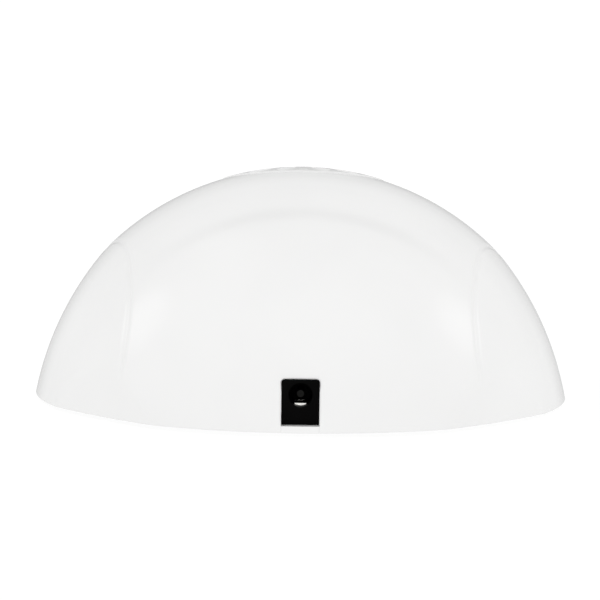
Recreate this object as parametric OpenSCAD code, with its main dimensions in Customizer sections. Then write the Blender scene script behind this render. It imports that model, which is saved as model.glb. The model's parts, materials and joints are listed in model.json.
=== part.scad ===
// UV curing lamp: a half-dome housing whose front is cut off to leave an arch for the hand or the work,
// an inner shell that carries the LEDs, a fluted rosette with one timer button on top, and a DC inlet
// in a notch of the rear rim. The underside of the cavity is open.
// Millimetres. +Z is up, -Y is the mouth, +Y is the rear with the DC inlet.
// The origin is on the table, below the middle of the whole body.

/* [Body] */
// Radius of the sphere that the housing is cut from
dome_r = 81.9; // [81.5:0.1:82.4]
// Height of the housing's rim above the centre of that sphere
rim_drop = 14.7; // [14.2:0.1:15]
// Height of the rim above the table, on the rubber feet
rim_z = 1.2; // [0.8:0.1:2]
// Wall of the outer shell
shell_t = 2.2; // [1.8:0.1:2.6]
// Gap between the outer shell and what fits inside it
fit_gap = 0.2; // [0.1:0.05:0.3]

/* [Side flats] */
// Azimuth of each arched side flat, from the rear
side_az = 74; // [72:0.2:78]
// Elevation of the middle of a side flat
side_el = 13.4; // [11:0.1:14]
// Angular radius of a side flat's outline
side_half = 33.8; // [32:0.2:35]
// Depth of a side flat below the sphere
side_depth = 1.8; // [1:0.1:2.2]
// Azimuth of the flat low on each rear quarter
quarter_az = 48.4; // [46:0.2:50]
// Angular radius of a quarter flat's outline
quarter_half = 21.4; // [19:0.2:22]
// Depth of a quarter flat below the sphere
quarter_depth = 3.4; // [2.4:0.1:3.6]

/* [Mouth] */
// Distance of the mouth's lower edge in front of the dome's centre
mouth_y = 54; // [52:0.5:56]
// Backward lean of the mouth's face, degrees
mouth_rake = 8; // [6:0.5:10]
// Width of the arched face round the opening
mouth_band = 8.5; // [7.5:0.1:10]
// Thickness of the arched face
band_t = 2.2; // [1.8:0.1:2.6]

/* [Inner shell] */
// Wall of the inner shell
inner_t = 2.0; // [1.6:0.1:2.2]
// Radius of the cavity at the rim
cavity_rim_r = 63.5; // [62:0.5:64]
// Height of the cavity above the rim
cavity_h = 49; // [48:0.5:49.5]
// Distance of the cavity's axis in front of the dome's centre
cavity_front = 4; // [3:0.5:5]
// Thickness of the bottom flange
flange_t = 1.8; // [1.6:0.1:2]

/* [Top rosette] */
// Radius of the rosette
rosette_r = 25; // [24:0.5:26]
// Forward tilt of the rosette, degrees
rosette_tilt = 9.5; // [8:0.5:11]
// Number of flutes
flutes = 14; // [10:1:14]
// Depth of a flute at its wide end
flute_depth = 0.8; // [0.6:0.1:0.9]
// Height of the rosette above the shell's surface
rosette_proud = 0.3; // [0.2:0.1:0.5]
// Radius of the timer button
button_r = 6.9; // [6:0.1:7]
// Travel of the timer button
button_travel = 0.5; // [0.3:0.1:0.5]

/* [DC inlet] */
// Width of the inlet's body
jack_w = 9.8; // [9.4:0.1:10]
// Height of the inlet's body
jack_h = 11.8; // [11.6:0.1:11.8]
// Depth of the inlet's body
jack_d = 13.5; // [12.5:0.1:14]
// Distance of the inlet's face behind the dome's centre
jack_face = 77.4; // [77:0.1:77.8]
// Height of the socket's axis above the inlet's underside
socket_h = 7.9; // [7.5:0.1:7.9]
// Radius of the socket
socket_r = 3.15; // [3:0.05:3.2]
// Radius of the centre pin
pin_r = 1.05; // [1:0.05:1.25]

/* [Hidden] */

$fn = 96;
big = 200; // longer than anything in the lamp

// The body's frame. The housing is drawn about the dome's centre and then set on the table.
rear_reach = sqrt(dome_r * dome_r - rim_drop * rim_drop);
dome_y = (mouth_y - rear_reach) / 2;
dome_z = rim_z - rim_drop;

// The mouth's plane, as a distance from the dome's centre, and the circle that the dome leaves in it.
mouth_d = mouth_y * cos(mouth_rake) + rim_drop * sin(mouth_rake);
opening_r = sqrt(dome_r * dome_r - mouth_d * mouth_d) - mouth_band;
tunnel_d = 16; // depth of the straight part of the opening

// The cavity is a spherical cap.
cavity_r = (cavity_rim_r * cavity_rim_r + cavity_h * cavity_h) / (2 * cavity_h);
cavity_c = [0, -cavity_front, rim_drop + cavity_h - cavity_r];

// Levels of the top module, as distances from the dome's centre along the rosette's axis.
board_top = dome_r - 10.2;
board_t = 1.6;
board_w = 36;
board_l = 30;
board_hole_x = 15.2;
board_hole_y = 12.2;
switch_h = 3.5;
plunger_h = button_travel + 0.4;
stem_end = board_top + switch_h + plunger_h + 0.02;
button_top = dome_r + 0.5;
rosette_plug_r = 22.8;
rosette_seat = dome_r - 4.8; // level of the ledge in the outer shell
guide_end = rosette_seat + 2; // where the button's guide stops
rosette_top = dome_r + rosette_proud;
button_hole_r = button_r + 0.3;
pipe_rho = 10;
flute_start = 13; // distances of a flute's two ends from the rosette's axis
flute_end = 20.6;
flute_start_depth = 0.15;
flute_start_r = 2.2; // radii of a flute's cone at its two ends
flute_end_r = 7;
pipe_r = 1;
pipe_az = [for (k = [-1 : 1]) 180 + k * 360 / flutes];
pipe_start = board_top + 1.1;
pipe_top = sqrt(rosette_top * rosette_top - pow(pipe_rho + pipe_r, 2));

// LED places on the cavity: [azimuth from the rear, elevation], seen from the cavity's centre.
low_az = [0, 36, 72, 106];
mid_az = [26, 77, 126];
top_az = [50];
led_rows = [[27, low_az], [51, mid_az], [76, top_az]];
led_places = [
    for (row = led_rows) for (az = row[1]) for (side = az == 0 ? [1] : [-1, 1]) [side * az, row[0]]
];
led_seat = cavity_r + inner_t + 0.6;
led_board_r = 7;
led_board_t = 1.2;
lens_r = 3.5;
wire_w = led_seat + led_board_t + 1.1; // distance of the harness from the cavity's centre

// Feet and housing screws share one axis: [azimuth from the rear, distance from the dome's axis].
foot_places = [[45, 67.2], [-45, 67.2], [115, 70.2], [-115, 70.2]];
foot_r = 4;
foot_recess = 1;
boss_h = 5.5;
post_r = 3.2;
screw_r = 1.3;
screw_head_r = 2.5;
screw_head_t = 1.8;
screw_seat = 3.4; // height of the screw head's seat above the rim
screw_l = 11;

// The DC inlet stands on the flange.
jack_floor = rim_drop + flange_t;
notch_w = jack_w + fit_gap;
notch_h = jack_h + fit_gap / 2;
jack_tab_w = notch_w - 0.04; // the flange's tongue that closes the notch below the inlet
jack_corner = 0.8;
socket_z = jack_floor + socket_h;
socket_depth = 9.5;
pin_tip = jack_face - 3;
terminal_t = 0.4;

// The infrared pair looks down just inside the mouth.
sensor_place = [180, 72];
sensor_gap = 5;
sensor_r = 1.5;

function direction(az, el) = [sin(az) * cos(el), cos(az) * cos(el), sin(el)];
function polar(az, r) = [r * sin(az), r * cos(az), 0];
function flat_r(half, depth) =
    let (a = dome_r * sin(half), s = dome_r * (1 - cos(half)) - depth)
    (a * a + s * s) / (2 * s);

module in_dome() translate([0, dome_y, dome_z]) children();
module in_rosette() in_dome() rotate([rosette_tilt, 0, 0]) children();
module face_out(az, el) rotate([0, 0, -az]) rotate([el - 90, 0, 0]) children();
module in_cavity(az, el) in_dome() translate(cavity_c) face_out(az, el) children();
module mouth_frame() rotate([90 - mouth_rake, 0, 0]) translate([0, 0, mouth_d]) children();
module both_sides() { children(); mirror([1, 0, 0]) children(); }

module above(z) translate([-big, -big, z]) cube([2 * big, 2 * big, big]);
module behind_mouth() mouth_frame() translate([-big, -big, -2 * big]) cube([2 * big, 2 * big, 2 * big]);

// One large sphere whose surface lies under the dome inside a round outline.
module flat(az, el, half, depth, t) {
    r = flat_r(half, depth);
    translate((dome_r - depth - r) * direction(az, el)) sphere(r - t);
}

// The housing's whole outer form, moved inwards by t.
module body_form(t) {
    intersection() {
        sphere(dome_r - t);
        flat(side_az, side_el, side_half, side_depth, t);
        flat(-side_az, side_el, side_half, side_depth, t);
        flat(quarter_az, 0, quarter_half, quarter_depth, t);
        flat(-quarter_az, 0, quarter_half, quarter_depth, t);
    }
}

// The hollow that the hand goes into, moved outwards by t.
module cavity_form(t) {
    translate(cavity_c) sphere(cavity_r + t);
    mouth_frame() translate([0, 0, -tunnel_d]) cylinder(h = tunnel_d + 10, r = opening_r + t);
}

module at_feet() for (f = foot_places) translate(polar(f[0], f[1])) children();

// An upright block behind y, standing on z, with its two upper corners rounded.
module arched_block(w, y, depth, z, h) {
    translate([-w / 2, y, z]) cube([w, depth, h - jack_corner]);
    translate([-w / 2 + jack_corner, y, z]) cube([w - 2 * jack_corner, depth, h]);
    both_sides() translate([w / 2 - jack_corner, y, z + h - jack_corner])
        rotate([-90, 0, 0]) cylinder(h = depth, r = jack_corner);
}

module outer_shell() {
    color("white") in_dome() difference() {
        union() {
            intersection() {
                difference() {
                    body_form(0);
                    body_form(shell_t);
                }
                above(rim_drop);
                behind_mouth();
            }
            intersection() {
                at_feet() translate([0, 0, rim_drop + boss_h]) cylinder(h = 40, r = post_r);
                body_form(shell_t / 2);
            }
        }
        at_feet() translate([0, 0, rim_drop]) cylinder(h = boss_h + 10, r = screw_r + 0.05);
        arched_block(notch_w, jack_face - 8, 20, rim_drop - 5, notch_h + flange_t + 5);
        rotate([rosette_tilt, 0, 0]) {
            translate([0, 0, 60]) cylinder(h = 30, r = rosette_plug_r + fit_gap);
            translate([0, 0, rosette_seat]) cylinder(h = 30, r = rosette_r + fit_gap / 2);
        }
    }
}

module vent_slots() {
    slot_w = 1.6;
    for (az = [64 : 6 : 100]) both_sides()
        rotate([0, 0, -az]) translate([-slot_w / 2, 67.5, rim_drop - 1]) cube([slot_w, 5.5, flange_t + 2]);
}

module jack_cradle() {
    rib_t = 1.4;
    both_sides()
        translate([jack_w / 2 + fit_gap, jack_face - jack_d, rim_drop]) cube([rib_t, 8, flange_t + 6]);
}

module jack_tab() {
    intersection() {
        translate([-jack_tab_w / 2, 70, rim_drop]) cube([jack_tab_w, 15, flange_t]);
        body_form(0);
    }
}

module inner_shell() {
    color("white") in_dome() difference() {
        union() {
            intersection() {
                union() {
                    cavity_form(inner_t);
                    mouth_frame() translate([-big / 2, -big / 2, -band_t]) cube([big, big, band_t]);
                    translate([-big / 2, -big / 2, rim_drop]) cube([big, big, flange_t]);
                    at_feet() translate([0, 0, rim_drop]) cylinder(h = boss_h - 0.05, r = foot_r + 0.2);
                    jack_cradle();
                }
                body_form(shell_t + fit_gap);
                above(rim_drop);
                behind_mouth();
            }
            jack_tab();
            for (p = led_places) translate(cavity_c) face_out(p[0], p[1])
                translate([0, 0, cavity_r + 1]) cylinder(h = led_seat - cavity_r - 1, r = led_board_r + 1);
            translate(cavity_c) face_out(sensor_place[0], sensor_place[1])
                translate([-9, -4.5, cavity_r + 1]) cube([18, 9, led_seat - cavity_r - 1]);
        }
        cavity_form(0);
        for (p = led_places) translate(cavity_c) face_out(p[0], p[1])
            translate([0, 0, cavity_r - 6]) cylinder(h = 12, r = lens_r + 0.2);
        translate(cavity_c) face_out(sensor_place[0], sensor_place[1]) both_sides()
            translate([sensor_gap / 2, 0, cavity_r - 6]) cylinder(h = 12, r = sensor_r + 0.1);
        at_feet() translate([0, 0, rim_drop]) {
            translate([0, 0, -1]) cylinder(h = 1 + foot_recess, r = foot_r + 0.05);
            translate([0, 0, -1]) cylinder(h = 1 + screw_seat, r = screw_head_r + 0.2);
            cylinder(h = boss_h + 1, r = screw_r + 0.2);
        }
        vent_slots();
    }
}

// One flute's cutter: a cone that widens outwards along the flute's floor, and a ball at its end.
module flute_cutter() {
    floor_start = sqrt(rosette_top * rosette_top - flute_start * flute_start) - flute_start_depth;
    floor_end = sqrt(rosette_top * rosette_top - flute_end * flute_end) - flute_depth;
    run = [flute_end - flute_start, floor_end - floor_start];
    slope = atan2(run[1], run[0]);
    widen = asin((flute_end_r - flute_start_r) / norm(run));
    ball_r = flute_end_r / cos(widen) + 0.15; // a little more than the ball that would just touch the cone
    translate([0, flute_start, floor_start])
        rotate([slope + widen - 90, 0, 0]) translate([0, -flute_start_r, 0])
            cylinder(h = norm(run) * cos(widen), r1 = flute_start_r, r2 = flute_end_r);
    translate([0, flute_end - ball_r * sin(slope), floor_end + ball_r * cos(slope)]) sphere(ball_r);
}

module at_board_holes() {
    for (x = [-board_hole_x, board_hole_x]) for (y = [-board_hole_y, board_hole_y])
        translate([x, y, 0]) children();
}

module snap_hooks() {
    for (a = [90, 210, 330]) rotate([0, 0, a])
        translate([-2.5, rosette_plug_r - 1.4, rosette_seat - 2.4]) {
            cube([5, 1.4, 2.4]);
            cube([5, 2.2, 1.2]);
        }
}

module top_rosette() {
    color("white") in_rosette() difference() {
        union() {
            intersection() {
                sphere(rosette_top);
                translate([0, 0, rosette_seat]) cylinder(h = 20, r = rosette_r);
            }
            translate([0, 0, rosette_seat - 1]) cylinder(h = 2, r = rosette_plug_r);
            at_board_holes() translate([0, 0, board_top]) cylinder(h = rosette_seat + 1 - board_top, r = 2.3);
            snap_hooks();
        }
        difference() {
            translate([0, 0, rosette_seat - 2]) cylinder(h = 2.8, r = rosette_plug_r - 1.4);
            at_board_holes() translate([0, 0, board_top]) cylinder(h = 10, r = 2.3);
        }
        translate([0, 0, rosette_seat]) cylinder(h = guide_end - rosette_seat, r = button_hole_r + 1.2);
        for (k = [0 : flutes - 1]) rotate([0, 0, (k + 0.5) * 360 / flutes]) flute_cutter();
        translate([0, 0, 60]) cylinder(h = 30, r = button_hole_r);
        for (a = pipe_az) rotate([0, 0, -a]) translate([0, pipe_rho, 60]) cylinder(h = 30, r = pipe_r + 0.05);
        at_board_holes() translate([0, 0, board_top - 1]) cylinder(h = 5, r = 0.95);
    }
}

module timer_button() {
    color("white") in_rosette() difference() {
        union() {
            intersection() {
                translate([0, 0, guide_end - 0.8]) cylinder(h = 10, r = button_r);
                sphere(button_top);
            }
            translate([0, 0, guide_end - 1.1]) cylinder(h = 1, r = button_r + 1.2);
            translate([0, 0, stem_end]) cylinder(h = 2, r = 2.4);
        }
        // dished top
        translate([0, 0, button_top + 23.5]) sphere(24);
        // hollow round the stem, open below
        difference() {
            translate([0, 0, stem_end - 1]) cylinder(h = button_top - 2 - stem_end, r = button_r - 1.5);
            translate([0, 0, stem_end - 2]) cylinder(h = 20, r = 2.4);
        }
    }
}

module indicator_light_pipes() {
    color("lightcyan") in_rosette()
        for (a = pipe_az) rotate([0, 0, -a]) translate([0, pipe_rho, pipe_start]) {
            cylinder(h = pipe_top - pipe_start, r = pipe_r);
            cylinder(h = 1.2, r = pipe_r + 0.5);
        }
}

module switch_housing() {
    color("dimgray") in_rosette() difference() {
        translate([-3, -3, board_top]) cube([6, 6, switch_h]);
        translate([0, 0, board_top + 0.6]) cylinder(h = 5, r = 1.78);
    }
}

module switch_plunger() {
    color("black") in_rosette()
        translate([0, 0, board_top + 1.3]) cylinder(h = switch_h + plunger_h - 1.3, r = 1.7);
}

module switch_legs() {
    color("silver") in_rosette()
        for (x = [-2.25, 2.25]) both_sides_y() translate([x - 0.35, 3, board_top]) cube([0.7, 1.6, 0.3]);
}

module both_sides_y() { children(); mirror([0, 1, 0]) children(); }

module control_board() {
    corner = 2;
    color("green") in_rosette() translate([0, 0, board_top - board_t]) difference() {
        union() {
            translate([-board_w / 2 + corner, -board_l / 2, 0]) cube([board_w - 2 * corner, board_l, board_t]);
            translate([-board_w / 2, -board_l / 2 + corner, 0]) cube([board_w, board_l - 2 * corner, board_t]);
            for (x = [-1, 1]) for (y = [-1, 1])
                translate([x * (board_w / 2 - corner), y * (board_l / 2 - corner), 0])
                    cylinder(h = board_t, r = corner);
        }
        at_board_holes() translate([0, 0, -1]) cylinder(h = board_t + 2, r = 1.1);
    }
}

// [x, y, width, length, height] of each chip on the board's upper face.
chips = [
    [-9.5, 3, 4, 5, 1.5], [-9, -5, 3, 3, 1.1], [9, -8, 5, 6, 2.2],
    [3.2, -12.6, 2, 1.2, 0.6], [-3.2, -12.6, 2, 1.2, 0.6]
];

module board_chips() {
    color("black") in_rosette() for (c = chips)
        translate([c[0] - c[2] / 2, c[1] - c[3] / 2, board_top]) cube([c[2], c[3], c[4]]);
}

module board_capacitors() {
    color("darkslategray") in_rosette()
        for (p = [[9.5, 5], [-10.5, 9.8]]) translate([p[0], p[1], board_top]) cylinder(h = 4.6, r = 2.5);
}

module power_inductor() {
    color("gray") in_rosette() difference() {
        translate([-3, 6.2, board_top]) cube([6, 6, 3]);
        translate([0, 9.2, board_top + 2.6]) cylinder(h = 1, r = 2);
    }
}

module indicator_leds() {
    color("ivory") in_rosette()
        for (a = pipe_az) rotate([0, 0, -a]) translate([-0.8, pipe_rho - 0.5, board_top]) cube([1.6, 1, 0.8]);
}

// Two wire sockets, one open towards the rear edge of the board and one towards the front.
socket_w = 6;
socket_l = 4.4;
rear_socket_x = 7;
front_socket_x = 9.6;
socket_edge = board_l / 2 - 0.6; // distance of a socket's open end from the board's middle
socket_lift = 1.8; // height of a socket's middle above the board

module board_connectors() {
    color("ivory") in_rosette() {
        translate([rear_socket_x, socket_edge, board_top]) wire_socket();
        rotate([0, 0, 180]) translate([front_socket_x, socket_edge, board_top]) wire_socket();
    }
}

module wire_socket() {
    translate([-socket_w / 2, -socket_l, 0]) difference() {
        cube([socket_w, socket_l, 3.6]);
        translate([0.6, 0.8, 0.7]) cube([socket_w - 1.2, socket_l, 2.2]);
    }
}

module board_screws() {
    color("silver") in_rosette()
        at_board_holes() translate([0, 0, board_top - board_t]) difference() {
                union() {
                    translate([0, 0, -1.2]) cylinder(h = 1.2, r = 1.8);
                    cylinder(h = 5, r = 0.9);
                }
                translate([0, 0, -1.3]) cross_recess(1.6, 0.7);
            }
}

module cross_recess(w, depth) {
    translate([-w / 2, -w / 8, 0]) cube([w, w / 4, depth]);
    translate([-w / 8, -w / 2, 0]) cube([w / 4, w, depth]);
}

module at_leds() for (p = led_places) in_cavity(p[0], p[1]) children();

module led_boards() {
    color("white") at_leds() translate([0, 0, led_seat]) cylinder(h = led_board_t, r = led_board_r);
}

module led_packages() {
    color("khaki") at_leds() translate([-1.6, -1.6, led_seat - 0.9]) cube([3.2, 3.2, 0.9]);
}

module led_lenses() {
    dome = 6.5; // radius of the lens's face
    tip = 1.6; // how far a lens stands into the cavity
    color("lightyellow") at_leds() difference() {
        intersection() {
            translate([0, 0, cavity_r - tip]) cylinder(h = led_seat - cavity_r + tip, r = lens_r);
            translate([0, 0, cavity_r - tip + dome]) sphere(dome);
        }
        translate([0, 0, led_seat - 1.4]) cylinder(h = 2, r = 2.5);
    }
}

module latitude_wire(el, span, r) {
    translate([0, 0, wire_w * sin(el)]) rotate([0, 0, 90 - span])
        rotate_extrude(angle = 2 * span) translate([wire_w * cos(el), 0]) circle(r, $fn = 24);
}

module meridian_wire(az, low, high, r) {
    rotate([0, 0, 90 - az]) rotate([90, 0, 0]) rotate([0, 0, low])
        rotate_extrude(angle = high - low) translate([wire_w + 0.1, 0]) circle(r, $fn = 24);
}

module led_harness() {
    color("red") in_dome() translate(cavity_c) {
        latitude_wire(led_rows[0][0], low_az[3], 0.7);
        latitude_wire(led_rows[1][0], mid_az[2], 0.7);
        latitude_wire(led_rows[2][0], top_az[0], 0.7);
        meridian_wire(14, led_rows[0][0], led_rows[1][0], 0.55);
        meridian_wire(-14, led_rows[1][0], led_rows[2][0], 0.55);
    }
}

// A smooth line through hand-set points.
function curve_point(a, b, c, d, t) =
    0.5 * (2 * b + (c - a) * t + (2 * a - 5 * b + 4 * c - d) * t * t + (3 * b - a - 3 * c + d) * t * t * t);
function curve(p, steps) = [
    for (i = [0 : len(p) - 2]) for (k = [0 : steps - 1])
        curve_point(p[max(i - 1, 0)], p[i], p[i + 1], p[min(i + 2, len(p) - 1)], k / steps),
    p[len(p) - 1]
];
function unit(v) = v / norm(v);
function ring_points(c, along, r, sides) =
    let (u = unit(cross(along, [1, 0, 0])), v = cross(along, u))
    [for (k = [0 : sides - 1]) c + r * (cos(360 * k / sides) * u + sin(360 * k / sides) * v)];

// A tube along a line that never runs along X.
module wire(points, r) {
    sides = 8;
    line = curve(points, 4);
    last = len(line) - 1;
    rings = [
        for (i = [0 : last]) ring_points(line[i], unit(line[min(i + 1, last)] - line[max(i - 1, 0)]), r, sides)
    ];
    faces = concat(
        [[for (k = [0 : sides - 1]) k]],
        [for (i = [0 : last - 1]) for (k = [0 : sides - 1]) let (n = (k + 1) % sides)
            [i * sides + k, (i + 1) * sides + k, (i + 1) * sides + n, i * sides + n]],
        [[for (k = [sides - 1 : -1 : 0]) last * sides + k]]
    );
    polyhedron([for (ring = rings) for (q = ring) q], faces, convexity = 8);
}

// The routes, about the dome's centre. Points near the control board are given in its own tilted frame,
// with their height above its upper face.
function at_board(x, y, lift) =
    let (w = board_top + lift)
    [x, y * cos(rosette_tilt) - w * sin(rosette_tilt), y * sin(rosette_tilt) + w * cos(rosette_tilt)];
lead_r = 0.7;
lead_gap = 1.1; // half the distance between two leads in one socket
terminal_y = jack_face - jack_d - terminal_t - lead_r - 0.02;
positive_route = [
    [0.4, terminal_y, socket_z - 0.6], [0.9, terminal_y, socket_z + 2.6], [1.6, 62.6, 32], [3, 60.6, 40],
    [4, 53, 52.5], [4.5, 40, 63.5], [5.4, 25, 71], at_board(7.6, 22, 0.4),
    at_board(rear_socket_x + lead_gap, 13, socket_lift)
];
negative_route = [
    [-0.4, terminal_y, socket_z - 5], [-1.9, terminal_y, socket_z - 2.4], [-2.2, 62.4, 27.7], [-1.4, 62.2, 34],
    [0.6, 58.6, 44], [1.6, 49.5, 56.5], [2.2, 35, 67], [3.2, 23, 72], at_board(5.2, 21, 0.9),
    at_board(rear_socket_x - lead_gap, 13, socket_lift)
];
led_end_az = -(top_az[0] + 1.5);
led_route = [
    at_board(-front_socket_x - lead_gap, -13, socket_lift), at_board(-11.3, -17.5, 1.5),
    at_board(-15, -20, -0.2),
    at_board(-20.6, -15, -2.2), at_board(-21.2, -4, -3.2), at_board(-20.4, 5, -4), at_board(-17, 12, -5.8),
    cavity_c + wire_w * direction(led_end_az, led_rows[2][0])
];
sensor_route = [
    at_board(-front_socket_x + 1.4, -13, socket_lift), at_board(-8.4, -18.5, 1.4), at_board(-7, -21.5, -0.6),
    at_board(-5, -20.5, -3), at_board(-4, -16.5, -3.9)
];

module supply_lead_positive() color("red") in_dome() wire(positive_route, lead_r);
module supply_lead_negative() color("black") in_dome() wire(negative_route, lead_r);
module led_lead() color("blue") in_dome() wire(led_route, lead_r);
module sensor_lead() color("gray") in_dome() wire(sensor_route, 0.6);

module jack_housing() {
    barrel_r = jack_h - socket_h - 0.05; // the barrel stays just below the face plate's top
    plate_t = 3.4;
    color("black") in_dome() difference() {
        union() {
            arched_block(jack_w, jack_face - plate_t, plate_t, jack_floor, jack_h);
            translate([0, jack_face - jack_d, socket_z])
                rotate([-90, 0, 0]) cylinder(h = jack_d - 1, r = barrel_r);
            translate([-barrel_r, jack_face - jack_d, jack_floor]) cube([2 * barrel_r, jack_d - 1, socket_h]);
        }
        translate([0, jack_face - socket_depth, socket_z]) rotate([-90, 0, 0]) cylinder(h = 20, r = socket_r);
        translate([0, jack_face - jack_d - 1, socket_z]) rotate([-90, 0, 0]) cylinder(h = 10, r = pin_r - 0.2);
        // slot for the contact spring, below the socket
        translate([-1.6, jack_face - jack_d - 1, socket_z - 4.1]) cube([3.2, jack_d - 1.4, 1.6]);
    }
}

module jack_center_pin() {
    color("gold") in_dome() translate([0, 0, socket_z]) rotate([-90, 0, 0]) {
        translate([0, 0, jack_face - socket_depth]) cylinder(h = pin_tip - jack_face + socket_depth, r = pin_r);
        translate([0, 0, jack_face - jack_d]) cylinder(h = jack_d - socket_depth, r = pin_r - 0.25);
    }
}

// The spring lies in the slot below the socket, rises at its middle and shows its bent tip in the socket.
module jack_contact_spring() {
    leaf = 0.35;
    w = 3;
    low = -3.9;
    high = -2.35;
    rise = jack_face - jack_d + 6.5;
    tip = jack_face - 1.8;
    color("silver") in_dome() translate([0, 0, socket_z]) {
        translate([-w / 2, jack_face - jack_d, low]) cube([w, rise + leaf - jack_face + jack_d, leaf]);
        translate([-w / 2, rise, low]) cube([w, leaf, high - low]);
        translate([-w / 2, rise, high - leaf]) cube([w, tip - rise, leaf]);
        intersection() {
            translate([-w / 2, tip - leaf, -socket_r]) cube([w, leaf, high + socket_r]);
            translate([0, tip - 1, 0]) rotate([-90, 0, 0]) cylinder(h = 2, r = socket_r - 0.05);
        }
    }
}

module jack_terminals() {
    color("silver") in_dome() {
        for (z = [-0.9, -5.6])
            translate([-1.1, jack_face - jack_d - terminal_t, socket_z + z]) cube([2.2, terminal_t, 2.6]);
    }
}

module in_sensor() in_cavity(sensor_place[0], sensor_place[1]) translate([0, 0, led_seat]) children();

module sensor_board() color("green") in_sensor() translate([-8, -4, 0]) cube([16, 8, 1]);

module sensor_can() {
    cylinder(h = 3, r = sensor_r);
    sphere(sensor_r);
}

module infrared_emitter() {
    color("lightblue") in_sensor() translate([sensor_gap / 2, 0, -3]) sensor_can();
}

module infrared_receiver() {
    color("black") in_sensor() translate([-sensor_gap / 2, 0, -3]) sensor_can();
}

module housing_screws() {
    color("silver") in_dome() at_feet() translate([0, 0, rim_drop + screw_seat]) difference() {
        union() {
            translate([0, 0, -screw_head_t]) cylinder(h = screw_head_t, r = screw_head_r);
            cylinder(h = screw_l, r = screw_r);
        }
        translate([0, 0, -screw_head_t - 0.1]) cross_recess(2.8, 1.2);
    }
}

module rubber_feet() {
    color("gray") in_dome() at_feet()
        translate([0, 0, rim_drop - rim_z]) cylinder(h = rim_z + foot_recess, r = foot_r);
}

outer_shell();
inner_shell();
top_rosette();
timer_button();
indicator_light_pipes();
switch_housing();
switch_plunger();
switch_legs();
control_board();
board_chips();
board_capacitors();
power_inductor();
indicator_leds();
board_connectors();
board_screws();
led_boards();
led_packages();
led_lenses();
led_harness();
led_lead();
jack_housing();
jack_center_pin();
jack_contact_spring();
jack_terminals();
supply_lead_positive();
supply_lead_negative();
sensor_board();
infrared_emitter();
infrared_receiver();
sensor_lead();
housing_screws();
rubber_feet();
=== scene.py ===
import json
import math

import bmesh
import bpy
import numpy as np
from mathutils import Matrix, Vector


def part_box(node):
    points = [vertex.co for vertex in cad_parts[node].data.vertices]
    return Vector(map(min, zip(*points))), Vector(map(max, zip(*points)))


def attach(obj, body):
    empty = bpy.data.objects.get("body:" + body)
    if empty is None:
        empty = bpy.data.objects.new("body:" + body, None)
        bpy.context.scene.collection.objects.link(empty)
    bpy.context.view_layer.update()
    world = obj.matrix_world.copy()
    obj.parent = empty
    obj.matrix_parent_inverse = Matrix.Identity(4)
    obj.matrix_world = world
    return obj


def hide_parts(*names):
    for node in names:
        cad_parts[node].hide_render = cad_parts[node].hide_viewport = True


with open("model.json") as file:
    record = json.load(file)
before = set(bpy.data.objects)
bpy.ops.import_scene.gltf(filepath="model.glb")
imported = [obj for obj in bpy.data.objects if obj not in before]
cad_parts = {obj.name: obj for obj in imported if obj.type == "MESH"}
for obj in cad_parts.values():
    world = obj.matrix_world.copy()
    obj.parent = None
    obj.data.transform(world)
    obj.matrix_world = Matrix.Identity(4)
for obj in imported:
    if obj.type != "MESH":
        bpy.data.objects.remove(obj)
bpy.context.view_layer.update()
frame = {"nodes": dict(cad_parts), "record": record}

# ---------------------------------------------------------------- sizes, in metres, as in the CAD
MM = 0.001
DOME_R = 81.9 * MM
SHELL_T = 2.2 * MM
RIM_DROP = 14.7 * MM
MOUTH_Y = 54 * MM
MOUTH_RAKE = math.radians(8)
SIDE_FLAT = (74, 13.4, 33.8, 1.8 * MM)
QUARTER_FLAT = (48.4, 0.0, 21.4, 3.4 * MM)

ROSETTE_R = 25 * MM
ROSETTE_TILT = math.radians(9.5)
ROSETTE_TOP = DOME_R + 0.3 * MM
ROSETTE_SEAT = DOME_R - 4.8 * MM
PLUG_R = 22.8 * MM
FLUTES = 14
FLUTE_START = 13 * MM
FLUTE_START_DEPTH = 0.15 * MM
FLUTE_START_R = 2.2 * MM
FLUTE_END = 20.6 * MM
FLUTE_END_DEPTH = 0.8 * MM
FLUTE_END_R = 7 * MM
BUTTON_R = 6.9 * MM
BUTTON_TOP = DOME_R + 0.5 * MM
BUTTON_FLANGE = ROSETTE_SEAT + 0.9 * MM
BUTTON_HOLE_R = 7.2 * MM
PIPE_RHO = 10 * MM
PIPE_R = 1 * MM

JACK_W = 9.8 * MM
JACK_H = 11.8 * MM
JACK_CORNER = 0.8 * MM
FLANGE_T = 1.8 * MM
FIT_GAP = 0.2 * MM

# The dome's centre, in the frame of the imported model.
shell_low, shell_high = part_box("outer_shell")
RIM_Z = shell_low[2]
REAR_REACH = math.sqrt(DOME_R**2 - RIM_DROP**2)
CENTRE = np.array([0.0, (MOUTH_Y - REAR_REACH) / 2, RIM_Z - RIM_DROP])
MOUTH_D = MOUTH_Y * math.cos(MOUTH_RAKE) + RIM_DROP * math.sin(MOUTH_RAKE)
MOUTH_N = np.array([0.0, -math.cos(MOUTH_RAKE), math.sin(MOUTH_RAKE)])
TOP_AXIS = np.array([0.0, -math.sin(ROSETTE_TILT), math.cos(ROSETTE_TILT)])
TOP_REAR = np.array([0.0, math.cos(ROSETTE_TILT), math.sin(ROSETTE_TILT)])
ACROSS = np.array([1.0, 0.0, 0.0])


# ---------------------------------------------------------------- mesh helpers
SHARP_ANGLE = math.radians(32)


def soft_min(a, b, width):
    """The smaller of a and b, with the change from one to the other rounded over the given width."""
    h = np.clip(0.5 + 0.5 * (a - b) / width, 0, 1)
    return a * (1 - h) + b * h - width * h * (1 - h)


def link(obj):
    bpy.context.collection.objects.link(obj)
    return obj


def smooth(mesh):
    mesh.shade_smooth()
    mesh.set_sharp_from_angle(angle=SHARP_ANGLE)


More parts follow.
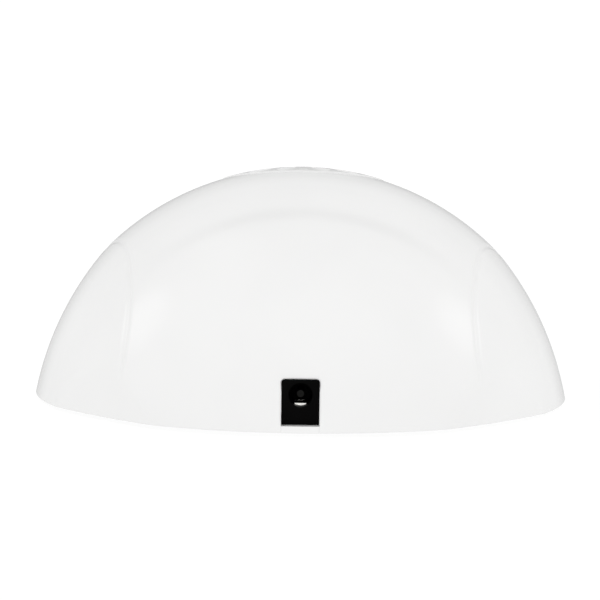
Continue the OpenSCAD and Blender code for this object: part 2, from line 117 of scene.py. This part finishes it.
def make_piece(name, verts, faces, material):
    mesh = bpy.data.meshes.new(name)
    mesh.from_pydata(np.asarray(verts).tolist(), [], faces)
    mesh.materials.append(material)
    obj = link(bpy.data.objects.new(name, mesh))
    fix_normals(mesh)
    smooth(mesh)
    return obj


def fix_normals(mesh):
    bm = bmesh.new()
    bm.from_mesh(mesh)
    bmesh.ops.recalc_face_normals(bm, faces=bm.faces)
    bm.to_mesh(mesh)
    bm.free()


def grid_faces(rows, cols, wrap_rows=False, wrap_cols=False):
    """Quads over a grid whose vertices are stored row by row."""
    faces = []
    for i in range(rows if wrap_rows else rows - 1):
        k = (i + 1) % rows
        for j in range(cols if wrap_cols else cols - 1):
            n = (j + 1) % cols
            row, next_row = i * cols, k * cols
            faces.append((row + j, row + n, next_row + n, next_row + j))
    return faces


def lathe(profile, sides):
    """Vertices and faces of a profile of (radius, height) turned about Z, with both ends closed."""
    angles = np.linspace(0, 2 * math.pi, sides, endpoint=False)
    verts = [
        (r * math.cos(a), r * math.sin(a), z)
        for r, z in profile
        for a in angles
    ]
    faces = grid_faces(len(profile), sides, wrap_cols=True)
    last = (len(profile) - 1) * sides
    faces.append(tuple(range(sides))[::-1])
    faces.append(tuple(range(last, last + sides)))
    return np.array(verts), faces


def rounded(profile, radius, steps=4):
    """A profile with each inner corner rounded by a curve that starts the given distance before it."""
    out = [np.array(profile[0], float)]
    for a, c, b in zip(profile[:-2], profile[1:-1], profile[2:]):
        a, c, b = (np.array(p, float) for p in (a, c, b))
        ra = min(radius, np.linalg.norm(a - c) * 0.45)
        rb = min(radius, np.linalg.norm(b - c) * 0.45)
        start = c + (a - c) / max(np.linalg.norm(a - c), 1e-12) * ra
        end = c + (b - c) / max(np.linalg.norm(b - c), 1e-12) * rb
        for t in np.linspace(0, 1, steps + 1):
            out.append((1 - t) ** 2 * start + 2 * t * (1 - t) * c + t**2 * end)
    out.append(np.array(profile[-1], float))
    return out


def evaluated_copy(obj):
    """The object's mesh with its modifiers applied, as a mesh of its own."""
    depsgraph = bpy.context.evaluated_depsgraph_get()
    return bpy.data.meshes.new_from_object(obj.evaluated_get(depsgraph))


def carve(obj, cutters):
    """Cuts closed meshes out of obj and applies the result."""
    for cutter in cutters:
        modifier = obj.modifiers.new("carve", "BOOLEAN")
        modifier.object = cutter
        modifier.operation = "DIFFERENCE"
        modifier.solver = "EXACT"
    mesh = evaluated_copy(obj)
    obj.modifiers.clear()
    obj.data = mesh
    for cutter in cutters:
        bpy.data.objects.remove(cutter)
    smooth(mesh)


def finish_piece(obj, node, body="housing"):
    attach(obj, body)
    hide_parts(node)


SLOTS = {entry["node"]: entry["material_slot"] for entry in frame["record"]["subparts"]}


def refined(node, material, edge):
    """A copy of a CAD node with its flat faces joined and its edges rounded."""
    mesh = frame["nodes"][node].data.copy()
    mesh.name = node + "_skin"
    mesh.materials.clear()
    mesh.materials.append(material)
    bm = bmesh.new()
    bm.from_mesh(mesh)
    bmesh.ops.remove_doubles(bm, verts=bm.verts, dist=1e-6)
    bmesh.ops.dissolve_limit(bm, angle_limit=math.radians(0.5), verts=bm.verts, edges=bm.edges)
    bmesh.ops.recalc_face_normals(bm, faces=bm.faces)
    bm.to_mesh(mesh)
    bm.free()
    if "custom_normal" in mesh.attributes:
        mesh.attributes.remove(mesh.attributes["custom_normal"])
    smooth(mesh)
    obj = link(bpy.data.objects.new(node + "_skin", mesh))
    modifier = obj.modifiers.new("edges", "BEVEL")
    modifier.width = edge
    modifier.segments = 2
    modifier.limit_method = "ANGLE"
    modifier.angle_limit = math.radians(35)
    modifier.harden_normals = False
    finish_piece(obj, node)


# ---------------------------------------------------------------- materials
def material_nodes(name):
    material = bpy.data.materials.new(name)
    material.use_nodes = True
    tree = material.node_tree
    shader = tree.nodes["Principled BSDF"]
    return material, tree, shader


def noise(tree, scale, detail=3.0, rough=0.5):
    coords = tree.nodes.new("ShaderNodeTexCoord")
    node = tree.nodes.new("ShaderNodeTexNoise")
    node.inputs["Scale"].default_value = scale
    node.inputs["Detail"].default_value = detail
    node.inputs["Roughness"].default_value = rough
    tree.links.new(coords.outputs["Object"], node.inputs["Vector"])
    return node.outputs["Fac"]


def remap(tree, value, low, high, start=0.35, end=0.65):
    node = tree.nodes.new("ShaderNodeMapRange")
    node.inputs["From Min"].default_value = start
    node.inputs["From Max"].default_value = end
    node.inputs["To Min"].default_value = low
    node.inputs["To Max"].default_value = high
    tree.links.new(value, node.inputs["Value"])
    return node.outputs["Result"]


def mix_colours(tree, factor, first, second):
    node = tree.nodes.new("ShaderNodeMix")
    node.data_type = "RGBA"
    node.inputs["A"].default_value = (*first, 1)
    node.inputs["B"].default_value = (*second, 1)
    tree.links.new(factor, node.inputs["Factor"])
    return node.outputs["Result"]


def bump(tree, shader, height, strength, distance):
    node = tree.nodes.new("ShaderNodeBump")
    node.inputs["Strength"].default_value = strength
    node.inputs["Distance"].default_value = distance
    tree.links.new(height, node.inputs["Height"])
    tree.links.new(node.outputs["Normal"], shader.inputs["Normal"])


def shade(colour, amount):
    return tuple(min(1.0, c * amount) for c in colour)


def moulded(name, colour, roughness, grain=0.02, grain_scale=900, coat=0.0, wear=0.5, specular=0.5):
    """Moulded plastic with slightly uneven colour and gloss, a fine skin texture and paler worn edges."""
    material, tree, shader = material_nodes(name)
    patches = remap(tree, noise(tree, 28, 2), 0, 1)
    drift = mix_colours(tree, patches, shade(colour, 0.985), shade(colour, 1.012))
    geometry = tree.nodes.new("ShaderNodeNewGeometry")
    edge = remap(tree, geometry.outputs["Pointiness"], 0, wear, 0.52, 0.6)
    worn = tree.nodes.new("ShaderNodeMix")
    worn.data_type = "RGBA"
    worn.inputs["B"].default_value = (*shade(colour, 1.05 if max(colour) > 0.4 else 2.2), 1)
    tree.links.new(edge, worn.inputs["Factor"])
    tree.links.new(drift, worn.inputs["A"])
    tree.links.new(worn.outputs["Result"], shader.inputs["Base Color"])
    gloss = remap(tree, noise(tree, 95, 4, 0.6), roughness * 0.85, roughness * 1.2)
    tree.links.new(gloss, shader.inputs["Roughness"])
    shader.inputs["Coat Weight"].default_value = coat
    shader.inputs["Coat Roughness"].default_value = 0.04
    shader.inputs["Specular IOR Level"].default_value = specular
    bump(tree, shader, noise(tree, grain_scale, 2), grain, 0.1 * MM)
    return material


def metal(name, colour, roughness):
    """Bright metal with fine uneven polish."""
    material, tree, shader = material_nodes(name)
    drift = mix_colours(tree, remap(tree, noise(tree, 300, 3), 0, 1), shade(colour, 0.88), colour)
    tree.links.new(drift, shader.inputs["Base Color"])
    shader.inputs["Metallic"].default_value = 1.0
    gloss = remap(tree, noise(tree, 900, 4), roughness * 0.7, roughness * 1.5)
    tree.links.new(gloss, shader.inputs["Roughness"])
    bump(tree, shader, noise(tree, 2500, 3), 0.03, 0.05 * MM)
    return material


def clear(name, colour, roughness, ior=1.5):
    """Clear moulded resin with a faint unevenness."""
    material, tree, shader = material_nodes(name)
    drift = mix_colours(tree, remap(tree, noise(tree, 200, 2), 0, 1), shade(colour, 0.97), colour)
    tree.links.new(drift, shader.inputs["Base Color"])
    shader.inputs["Transmission Weight"].default_value = 0.9
    shader.inputs["IOR"].default_value = ior
    gloss = remap(tree, noise(tree, 500, 3), roughness * 0.7, roughness * 1.4)
    tree.links.new(gloss, shader.inputs["Roughness"])
    bump(tree, shader, noise(tree, 700, 2), 0.02, 0.1 * MM)
    return material


WHITE = (0.8, 0.8, 0.797)
MATERIALS = {
    "white_shell": moulded("shell_white", WHITE, 0.11),
    "white_lining": moulded("lining_white", shade(WHITE, 0.99), 0.2, grain=0.04, coat=0.3),
    "white_rosette": moulded("rosette_white", shade(WHITE, 0.98), 0.11),
    "white_button": moulded("button_white", shade(WHITE, 0.99), 0.2, coat=0.4),
    "clear_pipes": clear("pipe_clear", (0.86, 0.92, 0.95), 0.1, 1.49),
    "switch_black": moulded("switch_black", (0.02, 0.02, 0.021), 0.5, grain=0.2),
    "tinned": metal("tinned", (0.72, 0.72, 0.7), 0.3),
    "green_board": moulded("board_green", (0.012, 0.11, 0.04), 0.32, grain=0.3, grain_scale=1500),
    "chip_black": moulded("chip_black", (0.018, 0.018, 0.02), 0.55, grain=0.3, grain_scale=3000),
    "capacitor_sleeve": moulded("capacitor_sleeve", (0.02, 0.024, 0.05), 0.3, grain=0.05),
    "ferrite": moulded("ferrite", (0.12, 0.12, 0.125), 0.6, grain=0.4, grain_scale=2500),
    "led_cream": moulded("led_cream", (0.8, 0.66, 0.18), 0.3, grain=0.05),
    "connector_cream": moulded("connector_cream", (0.74, 0.7, 0.56), 0.45, grain=0.1),
    "screw_steel": metal("screw_steel", (0.5, 0.5, 0.52), 0.32),
    "aluminium_board": moulded("board_white", (0.78, 0.78, 0.77), 0.35, grain=0.1),
    "clear_lens": clear("lens_clear", (0.95, 0.95, 0.9), 0.05),
    "wire_white": moulded("wire_white", (0.62, 0.62, 0.6), 0.45, grain=0.1),
    "jack_black": moulded(
        "jack_black", (0.0015, 0.0015, 0.0015), 0.5, grain=0.25, grain_scale=1800, wear=0.1, specular=0.02
    ),
    "plated_pin": metal("plated_pin", (0.86, 0.85, 0.82), 0.14),
    # The centre pin's metal is nearly black: painted shade standing in for the shadow deep inside the
    # socket, on what is really a plated pin.
    "pin_metal": metal("pin_metal", (0.01, 0.01, 0.0095), 0.3),
    "wire_red": moulded("wire_red", (0.4, 0.012, 0.01), 0.42, grain=0.1),
    "wire_black": moulded("wire_black", (0.015, 0.015, 0.015), 0.42, grain=0.1),
    "wire_grey": moulded("wire_grey", (0.25, 0.25, 0.25), 0.45, grain=0.1),
    "emitter_blue": clear("emitter_blue", (0.55, 0.65, 0.9), 0.06),
    "receiver_black": moulded("receiver_black", (0.012, 0.01, 0.014), 0.12, grain=0.02, coat=0.5),
    "grey_rubber": moulded("rubber_grey", (0.2, 0.2, 0.2), 0.7, grain=0.5, grain_scale=2200),
}


# ---------------------------------------------------------------- outer shell
def direction(azimuth_deg, elevation_deg):
    """Unit vector, azimuth from the rear."""
    azimuth, elevation = math.radians(azimuth_deg), math.radians(elevation_deg)
    return np.array([
        math.sin(azimuth) * math.cos(elevation),
        math.cos(azimuth) * math.cos(elevation),
        math.sin(elevation),
    ])


def flat_sphere(azimuth, elevation, half, depth):
    """Centre and radius of the large sphere that cuts a round flat of that outline and depth."""
    reach = DOME_R * math.sin(math.radians(half))
    sag = DOME_R * (1 - math.cos(math.radians(half))) - depth
    radius = (reach**2 + sag**2) / (2 * sag)
    return (DOME_R - depth - radius) * direction(azimuth, elevation), radius


CREASE_DEPTH = 0.36 * MM
CREASE_FADE = 0.055 * MM


def outer_distance(dirs):
    """Distance of the shell's outer face from the dome's centre, with its creases softened.

    A fine line runs along the upper part of each side flat's edge and fades out towards the rim.
    """
    distance = np.full(len(dirs), DOME_R)
    elevation = np.degrees(np.arcsin(np.clip(dirs[:, 2], -1, 1)))
    low = np.clip((20 - elevation) / 10, 0, 1)
    for side in (1, -1):
        for flat, crisp, soft in ((SIDE_FLAT, 0.03 * MM, 0.25 * MM), (QUARTER_FLAT, 0.3 * MM, 0.3 * MM)):
            azimuth, tilt, half, depth = flat
            centre, radius = flat_sphere(side * azimuth, tilt, half, depth)
            along = dirs @ centre
            flat_distance = along + np.sqrt(along**2 - centre @ centre + radius**2)
            width = crisp + (soft - crisp) * low
            above_flat = distance - flat_distance
            distance = soft_min(distance, flat_distance, width)
            if flat is SIDE_FLAT:
                distance -= CREASE_DEPTH * np.exp(-((above_flat / CREASE_FADE) ** 2)) * (1 - low)
    return distance


def top_directions(turn, away):
    """Unit vectors at an angle away from the rosette's axis, turned about it from the rear."""
    flat = np.sin(turn)[..., None] * ACROSS + np.cos(turn)[..., None] * TOP_REAR
    return np.cos(away)[..., None] * TOP_AXIS + np.sin(away)[..., None] * flat


def over_edge(turn, away, inset):
    """Positive where a direction has passed the rim's plane or the mouth's plane."""
    dirs = top_directions(turn, away)
    points = dirs * (outer_distance(dirs) - inset)[:, None]
    below = RIM_DROP - points[:, 2]
    in_front = points @ MOUTH_N - MOUTH_D
    return below, in_front


def edge_angle(turn, inset):
    """Angle from the rosette's axis at which the face meets the rim or the mouth."""
    low = np.full(len(turn), math.radians(20))
    high = np.full(len(turn), math.radians(125))
    for _ in range(45):
        middle = (low + high) / 2
        below, in_front = over_edge(turn, middle, inset)
        past = np.maximum(below, in_front) > 0
        high = np.where(past, middle, high)
        low = np.where(past, low, middle)
    return (low + high) / 2


def mouth_corner(inset):
    """Turn angle of the corner where the rim meets the mouth."""
    low, high = math.radians(90), math.radians(179)
    for _ in range(45):
        middle = np.array([(low + high) / 2])
        below, in_front = over_edge(middle, edge_angle(middle, inset), inset)
        if in_front[0] > below[0]:
            high = middle[0]
        else:
            low = middle[0]
    return (low + high) / 2


RIM_COLUMNS = 660
MOUTH_COLUMNS = 150


def columns(inset):
    """Turn angles round the shell: along the rim past the rear, then across the mouth, corner to corner."""
    corner = mouth_corner(inset)
    rim = np.linspace(-corner, corner, RIM_COLUMNS, endpoint=False)
    mouth = np.linspace(corner, 2 * math.pi - corner, MOUTH_COLUMNS, endpoint=False)
    return np.concatenate([rim, mouth])


def bent(a, corner, b, steps):
    """A curve from a to b that rounds the corner."""
    return [(1 - t) ** 2 * a + 2 * t * (1 - t) * corner + t**2 * b for t in np.linspace(0, 1, steps + 1)]


def face_rows(turn, start, end, count, inset, power=1.0):
    """Rows of points down one face of the shell."""
    rows = []
    for t in np.linspace(0, 1, count) ** power:
        dirs = top_directions(turn, start + (end - start) * t)
        rows.append(dirs * (outer_distance(dirs) - inset)[:, None])
    return rows


def make_outer_shell():
    edge = 0.3 * MM
    outer_rows, inner_rows = 270, 40
    hole_r = ROSETTE_R + FIT_GAP / 2
    through_r = PLUG_R + FIT_GAP
    turn_out, turn_in = columns(0), columns(SHELL_T)
    end_out, end_in = edge_angle(turn_out, 0), edge_angle(turn_in, SHELL_T)
    start_out = np.full(len(turn_out), math.asin((hole_r + edge) / DOME_R))
    start_in = np.full(len(turn_in), math.asin(through_r / (DOME_R - SHELL_T)))
    back_off = edge / DOME_R
    outer = face_rows(turn_out, start_out, end_out - back_off, outer_rows, 0)
    inner = face_rows(turn_in, start_in, end_in - back_off, inner_rows, SHELL_T)
    corner_out = face_rows(turn_out, start_out, end_out, 2, 0)[1]
    corner_in = face_rows(turn_in, start_in, end_in, 2, SHELL_T)[1]
    across = corner_in - corner_out
    across /= np.linalg.norm(across, axis=1)[:, None]
    lip = bent(outer[-1], corner_out, corner_out + across * edge, 5)[1:]
    lip += bent(corner_in - across * edge, corner_in, inner[-1], 3)[:-1]

    def ring(turn, radius, height):
        flat = np.sin(turn)[:, None] * ACROSS + np.cos(turn)[:, None] * TOP_REAR
        return flat * radius + TOP_AXIS * height

    hole_top = math.sqrt(DOME_R**2 - hole_r**2)
    hole = [ring(turn_in, through_r, ROSETTE_SEAT), ring(turn_out, hole_r, ROSETTE_SEAT)]
    hole += bent(ring(turn_out, hole_r, hole_top - edge), ring(turn_out, hole_r, hole_top), outer[0], 5)[:-1]
    rows = outer + lip + inner[::-1] + hole
    verts = np.concatenate(rows) + CENTRE
    faces = grid_faces(len(rows), len(turn_out), wrap_rows=True, wrap_cols=True)
    shell = make_piece("outer_shell_skin", verts, faces, MATERIALS["white_shell"])
    carve(shell, [notch_cutter()])
    finish_piece(shell, "outer_shell")


def notch_outline(width, bottom, top, corner, steps=8):
    """Upright outline of (x, z) points with rounded top corners, as narrow as the inlet beside the strip."""
    strip_top = RIM_DROP + FLANGE_T
    plain = (JACK_W + FIT_GAP) / 2
    points = [(-plain, bottom), (-plain, strip_top), (-width / 2, strip_top + (width / 2 - plain))]
    for sign in (-1, 1):
        centre_x = sign * (width / 2 - corner)
        first = math.pi if sign < 0 else math.pi / 2
        angles = np.linspace(first, first - math.pi / 2, steps)
        points += [(centre_x + corner * math.cos(a), top - corner + corner * math.sin(a)) for a in angles]
    points += [(width / 2, strip_top + (width / 2 - plain)), (plain, strip_top), (plain, bottom)]
    return points


def notch_cutter():
    """The inlet's notch, flared where it meets the outer face so that its edge comes out rounded."""
    width = JACK_W + FIT_GAP
    top = RIM_DROP + FLANGE_T + JACK_H + FIT_GAP / 2
    layers = [(-9, 0), (-0.5, 0), (-0.32, 0.03), (-0.16, 0.12), (-0.05, 0.27), (0.02, 0.46), (6, 0.46)]
    verts = []
    for depth, flare in layers:
        flare *= MM
        outline = notch_outline(width + 2 * flare, RIM_DROP - 4 * MM, top + flare, JACK_CORNER + flare)
        for x, z in outline:
            surface = math.sqrt(DOME_R**2 - x * x - z * z)
            verts.append((x, surface + depth * MM, z))
    count = len(verts) // len(layers)
    faces = grid_faces(len(layers), count, wrap_cols=True)
    faces.append(tuple(range(count))[::-1])
    faces.append(tuple(range(len(verts) - count, len(verts))))
    return make_piece("notch_cutter", np.array(verts) + CENTRE, faces, MATERIALS["white_shell"])


# ---------------------------------------------------------------- rosette and button
PLUG_WALL = 1.4 * MM
PLUG_FOOT = ROSETTE_SEAT - 1 * MM
ROSETTE_ROOF = ROSETTE_SEAT + 0.8 * MM
COLLAR_R = BUTTON_HOLE_R + 1.2 * MM
COLLAR_FOOT = ROSETTE_SEAT + 2 * MM


def on_top(verts):
    """Points drawn about the rosette's axis, moved to their place on the lamp."""
    x, y, z = np.asarray(verts).T
    return x[:, None] * ACROSS + y[:, None] * TOP_REAR + z[:, None] * TOP_AXIS + CENTRE


def flute_floor(along, across):
    """Height of a flute's floor: a cone lying on a sloping line, then a ball."""
    start_z = math.sqrt(ROSETTE_TOP**2 - FLUTE_START**2) - FLUTE_START_DEPTH
    end_z = math.sqrt(ROSETTE_TOP**2 - FLUTE_END**2) - FLUTE_END_DEPTH
    length = math.hypot(FLUTE_END - FLUTE_START, end_z - start_z)
    slope = math.atan2(end_z - start_z, FLUTE_END - FLUTE_START)
    widen = math.asin((FLUTE_END_R - FLUTE_START_R) / length)
    lean, grow = slope + widen, math.tan(widen)
    out = along - FLUTE_START
    rise = out * math.sin(lean) + FLUTE_START_R
    radius = FLUTE_START_R + grow * out * math.cos(lean)
    a = math.cos(lean) ** 2 - (grow * math.sin(lean)) ** 2
    b = rise * math.cos(lean) + radius * grow * math.sin(lean)
    inside = b**2 - a * (across**2 + rise**2 - radius**2)
    cone = (b - np.sqrt(np.maximum(inside, 0))) / a
    reach = out * math.cos(lean) + cone * math.sin(lean)
    within = (inside > 0) & (reach > 0) & (reach < length * math.cos(widen))
    floor = np.where(within, start_z + cone, 1.0)
    ball_r = FLUTE_END_R / math.cos(widen) + 0.15 * MM
    ball_out = FLUTE_END - ball_r * math.sin(slope)
    ball_z = end_z + ball_r * math.cos(slope)
    left = ball_r**2 - across**2 - (along - ball_out) ** 2
    return np.minimum(floor, np.where(left > 0, ball_z - np.sqrt(np.maximum(left, 0)), 1.0))


def rosette_height(x, y):
    """Height of the fluted face above the dome's centre."""
    height = np.sqrt(ROSETTE_TOP**2 - x**2 - y**2)
    step = 2 * math.pi / FLUTES
    turn = np.arctan2(x, y)
    local = turn - (np.floor(turn / step) + 0.5) * step
    rho = np.hypot(x, y)
    return soft_min(height, flute_floor(rho * np.cos(local), rho * np.sin(local)), 0.1 * MM)


def make_rosette():
    edge = 0.35 * MM
    sides = FLUTES * 30
    turn = np.linspace(0, 2 * math.pi, sides, endpoint=False)
    rim_top = math.sqrt(ROSETTE_TOP**2 - ROSETTE_R**2)
    hole_top = math.sqrt(ROSETTE_TOP**2 - BUTTON_HOLE_R**2)
    radii = np.linspace(BUTTON_HOLE_R + edge, ROSETTE_R - edge, 110)
    rows = []

    def ring(radius, height):
        return np.stack([radius * np.sin(turn), radius * np.cos(turn), np.full(sides, height)], axis=1)

    face = []
    for radius in radii:
        row = ring(radius, 0)
        row[:, 2] = rosette_height(row[:, 0], row[:, 1])
        face.append(row)
    rows += [ring(BUTTON_HOLE_R, COLLAR_FOOT)]
    rows += bent(ring(BUTTON_HOLE_R, hole_top - edge), ring(BUTTON_HOLE_R, hole_top), face[0], 4)[:-1]
    rows += face
    rows += bent(face[-1], ring(ROSETTE_R, rim_top), ring(ROSETTE_R, rim_top - edge), 4)[1:]
    rows += [
        ring(ROSETTE_R, ROSETTE_SEAT),
        ring(PLUG_R, ROSETTE_SEAT),
        ring(PLUG_R, PLUG_FOOT),
        ring(PLUG_R - PLUG_WALL, PLUG_FOOT),
        ring(PLUG_R - PLUG_WALL, ROSETTE_ROOF),
        ring(COLLAR_R, ROSETTE_ROOF),
        ring(COLLAR_R, COLLAR_FOOT),
    ]
    faces = grid_faces(len(rows), sides, wrap_rows=True, wrap_cols=True)
    rosette = make_piece("rosette_skin", on_top(np.concatenate(rows)), faces, MATERIALS["white_rosette"])
    cutters = []
    for k in (-1, 0, 1):
        angle = math.pi + k * 2 * math.pi / FLUTES
        hole_r = PIPE_R * 1.05
        verts, pipe_faces = lathe([(hole_r, ROSETTE_SEAT - 2 * MM), (hole_r, ROSETTE_TOP + 2 * MM)], 32)
        verts += [PIPE_RHO * math.sin(angle), PIPE_RHO * math.cos(angle), 0]
        cutters.append(make_piece("pipe_cutter", on_top(verts), pipe_faces, MATERIALS["white_rosette"]))
    carve(rosette, cutters)
    finish_piece(rosette, "top_rosette")


def make_button():
    dish_r, dish_up, dish_reach = 24 * MM, 23.5 * MM, 4.8 * MM
    flange_r, flange_t = BUTTON_R + 1.2 * MM, 1 * MM
    hollow_r, hollow_top = BUTTON_R - 1.5 * MM, BUTTON_TOP - 3 * MM
    stem_r, stem_end = 2.4 * MM, DOME_R - 5.78 * MM
    middle_r = 0.02 * MM
    dish = [
        (r, BUTTON_TOP + dish_up - math.sqrt(dish_r**2 - r**2))
        for r in np.linspace(middle_r, dish_reach, 18)
    ]
    brow = [(r, math.sqrt(BUTTON_TOP**2 - r**2)) for r in np.linspace(dish_reach + 0.5 * MM, BUTTON_R, 8)]
    skirt = [
        (BUTTON_R, BUTTON_FLANGE + flange_t),
        (flange_r, BUTTON_FLANGE + flange_t),
        (flange_r, BUTTON_FLANGE),
        (hollow_r, BUTTON_FLANGE),
        (hollow_r, hollow_top),
        (stem_r, hollow_top),
        (stem_r, stem_end),
        (middle_r, stem_end),
    ]
    profile = dish + rounded(brow + skirt, 0.3 * MM)
    verts, faces = lathe(profile, 96)
    button = make_piece("timer_button_skin", on_top(verts), faces, MATERIALS["white_button"])
    finish_piece(button, "timer_button", "button")


# ---------------------------------------------------------------- the rest, refined from the CAD
REFINED_EDGES = {
    "inner_shell": 0.25,
    "indicator_light_pipes": 0.12,
    "jack_housing": 0.5,
    "jack_center_pin": 0.25,
    "jack_contact_spring": 0.05,
    "jack_terminals": 0.05,
    "rubber_feet": 0.3,
    "housing_screws": 0.12,
    "led_lenses": 0.1,
    "led_packages": 0.1,
    "infrared_emitter": 0.08,
    "infrared_receiver": 0.08,
    "control_board": 0.05,
    "board_chips": 0.08,
    "board_capacitors": 0.25,
    "power_inductor": 0.15,
    "switch_housing": 0.1,
}


def make_refined_pieces():
    for node, edge in REFINED_EDGES.items():
        refined(node, MATERIALS[SLOTS[node]], edge * MM)


def paint_cad_nodes():
    """The nodes that stay as the CAD made them take their slot's material."""
    for node, obj in frame["nodes"].items():
        obj.data.materials.clear()
        obj.data.materials.append(MATERIALS[SLOTS[node]])


# ---------------------------------------------------------------- studio
# Brightness of the studio's walls against the Y part of a direction, from the far wall to the camera's side.
WALLS = [(-1.0, 0.5), (-0.93, 0.66), (-0.8, 0.87), (-0.6, 0.95), (-0.35, 1.03), (0.3, 1.08), (1.0, 1.2)]
# The gap between the far wall and the ceiling light: where it lies, its half width, and how dark it is.
GAP = (-0.43, 0.09, 0.5)
# A soft lamp on each side: its direction, then where its glow starts and is full, and how bright it is.
SIDE_LAMP = Vector((0.81, -0.06, 0.58)).normalized()
SIDE_GLOW = (math.cos(math.radians(13)), math.cos(math.radians(3)), 0.8)
TABLE_GLOW = 0.84


def math_node(tree, operation, first, second):
    node = tree.nodes.new("ShaderNodeMath")
    node.operation = operation
    tree.links.new(first, node.inputs[0])
    if isinstance(second, (int, float)):
        node.inputs[1].default_value = second
    else:
        tree.links.new(second, node.inputs[1])
    return node.outputs[0]


def product(tree, first, second):
    return math_node(tree, "MULTIPLY", first, second)


def gap_across(tree, along):
    """1 in the middle of the gap and 0 beyond its two edges."""
    off = math_node(tree, "ABSOLUTE", math_node(tree, "SUBTRACT", along, GAP[0]), 0.0)
    return remap(tree, off, 1, 0, GAP[1] * 0.3, GAP[1])


def wall_brightness(tree, toward):
    """The walls' colour over the Y part of a direction, as a share of the brightest wall."""
    brightest = max(value for _, value in WALLS)
    ramp = tree.nodes.new("ShaderNodeValToRGB")
    ramp.color_ramp.interpolation = "EASE"
    stops = ramp.color_ramp.elements
    for place, value in WALLS:
        stop = stops.new((place + 1) / 2)
        stop.color = (*(3 * (value / brightest,)), 1)
    stops.remove(stops[0])
    stops.remove(stops[len(stops) - 1])
    tree.links.new(remap(tree, toward, 0, 1, -1, 1), ramp.inputs["Fac"])
    return ramp.outputs["Color"], brightest


def side_lamps(tree, parts):
    """The glow of the two side lamps; one is the other's mirror image, so X is taken without its sign."""
    folded = tree.nodes.new("ShaderNodeCombineXYZ")
    tree.links.new(math_node(tree, "ABSOLUTE", parts.outputs["X"], 0.0), folded.inputs["X"])
    tree.links.new(parts.outputs["Y"], folded.inputs["Y"])
    tree.links.new(parts.outputs["Z"], folded.inputs["Z"])
    nearness = tree.nodes.new("ShaderNodeVectorMath")
    nearness.operation = "DOT_PRODUCT"
    nearness.inputs[1].default_value = SIDE_LAMP
    tree.links.new(folded.outputs[0], nearness.inputs[0])
    return remap(tree, nearness.outputs["Value"], 0, SIDE_GLOW[2], SIDE_GLOW[0], SIDE_GLOW[1])


def make_walls():
    world = bpy.data.worlds.new("studio")
    bpy.context.scene.world = world
    world.use_nodes = True
    tree = world.node_tree
    coords = tree.nodes.new("ShaderNodeTexCoord")
    parts = tree.nodes.new("ShaderNodeSeparateXYZ")
    tree.links.new(coords.outputs["Generated"], parts.inputs["Vector"])
    walls, brightest = wall_brightness(tree, parts.outputs["Y"])
    high_up = remap(tree, parts.outputs["Z"], 0, GAP[2], 0.6, 0.85)
    gap = product(tree, gap_across(tree, parts.outputs["Y"]), high_up)
    lamps = math_node(tree, "SUBTRACT", side_lamps(tree, parts), gap)
    both = tree.nodes.new("ShaderNodeVectorMath")
    both.operation = "ADD"
    tree.links.new(walls, both.inputs[0])
    tree.links.new(lamps, both.inputs[1])
    background = tree.nodes["Background"]
    tree.links.new(both.outputs["Vector"], background.inputs["Color"])
    background.inputs["Strength"].default_value = brightest


def pale_stage(name, corners, glow):
    """A pale sheet lit from behind, as on a light table, and left out of the lamp's reflections."""
    material, tree, shader = material_nodes(name + "_pale")
    paper = mix_colours(tree, remap(tree, noise(tree, 6, 3), 0, 1), (0.19, 0.19, 0.19), (0.2, 0.2, 0.2))
    tree.links.new(paper, shader.inputs["Base Color"])
    shader.inputs["Roughness"].default_value = 0.9
    shader.inputs["Specular IOR Level"].default_value = 0.0
    shader.inputs["Emission Color"].default_value = (1, 1, 1, 1)
    shader.inputs["Emission Strength"].default_value = glow
    sheet = make_piece(name, corners, [(0, 1, 2, 3)], material)
    sheet.visible_glossy = False


def make_studio():
    make_walls()
    reach, back, half, height = 3.0, -1.6, 0.34, 0.25
    floor = [(-reach, -reach, 0), (reach, -reach, 0), (reach, reach, 0), (-reach, reach, 0)]
    backdrop = [(-half, back, 0), (half, back, 0), (half, back, height), (-half, back, height)]
    pale_stage("floor", floor, TABLE_GLOW)
    pale_stage("backdrop", backdrop, TABLE_GLOW)
    bpy.context.scene.view_settings.view_transform = "Standard"
    bpy.context.scene.view_settings.look = "None"


# ---------------------------------------------------------------- camera
CAMERA_DISTANCE = 0.600
CAMERA_RISE = 0.08224
TILT_DOWN = math.radians(5.196)
ROLL = math.radians(0.781)
YAW = math.radians(0.051)
LENS_MM = 120.7
SENSOR_MM = 36


def make_camera():
    data = bpy.data.cameras.new("camera")
    data.lens = LENS_MM
    data.sensor_width = SENSOR_MM
    data.clip_start = 0.01
    camera = link(bpy.data.objects.new("camera", data))
    right = Vector((-math.cos(YAW), -math.sin(YAW), 0))
    level = Vector((math.sin(YAW), -math.cos(YAW), 0))
    forward = level * math.cos(TILT_DOWN) - Vector((0, 0, math.sin(TILT_DOWN)))
    up = right.cross(forward)
    rolled_right = right * math.cos(ROLL) + up * math.sin(ROLL)
    rolled_up = up * math.cos(ROLL) - right * math.sin(ROLL)
    matrix = Matrix((rolled_right, rolled_up, -forward)).transposed().to_4x4()
    matrix.translation = Vector((0, CENTRE[1] + CAMERA_DISTANCE, RIM_Z + CAMERA_RISE))
    camera.matrix_world = matrix
    bpy.context.scene.camera = camera


make_outer_shell()
make_rosette()
make_button()
make_refined_pieces()
paint_cad_nodes()
make_studio()
make_camera()
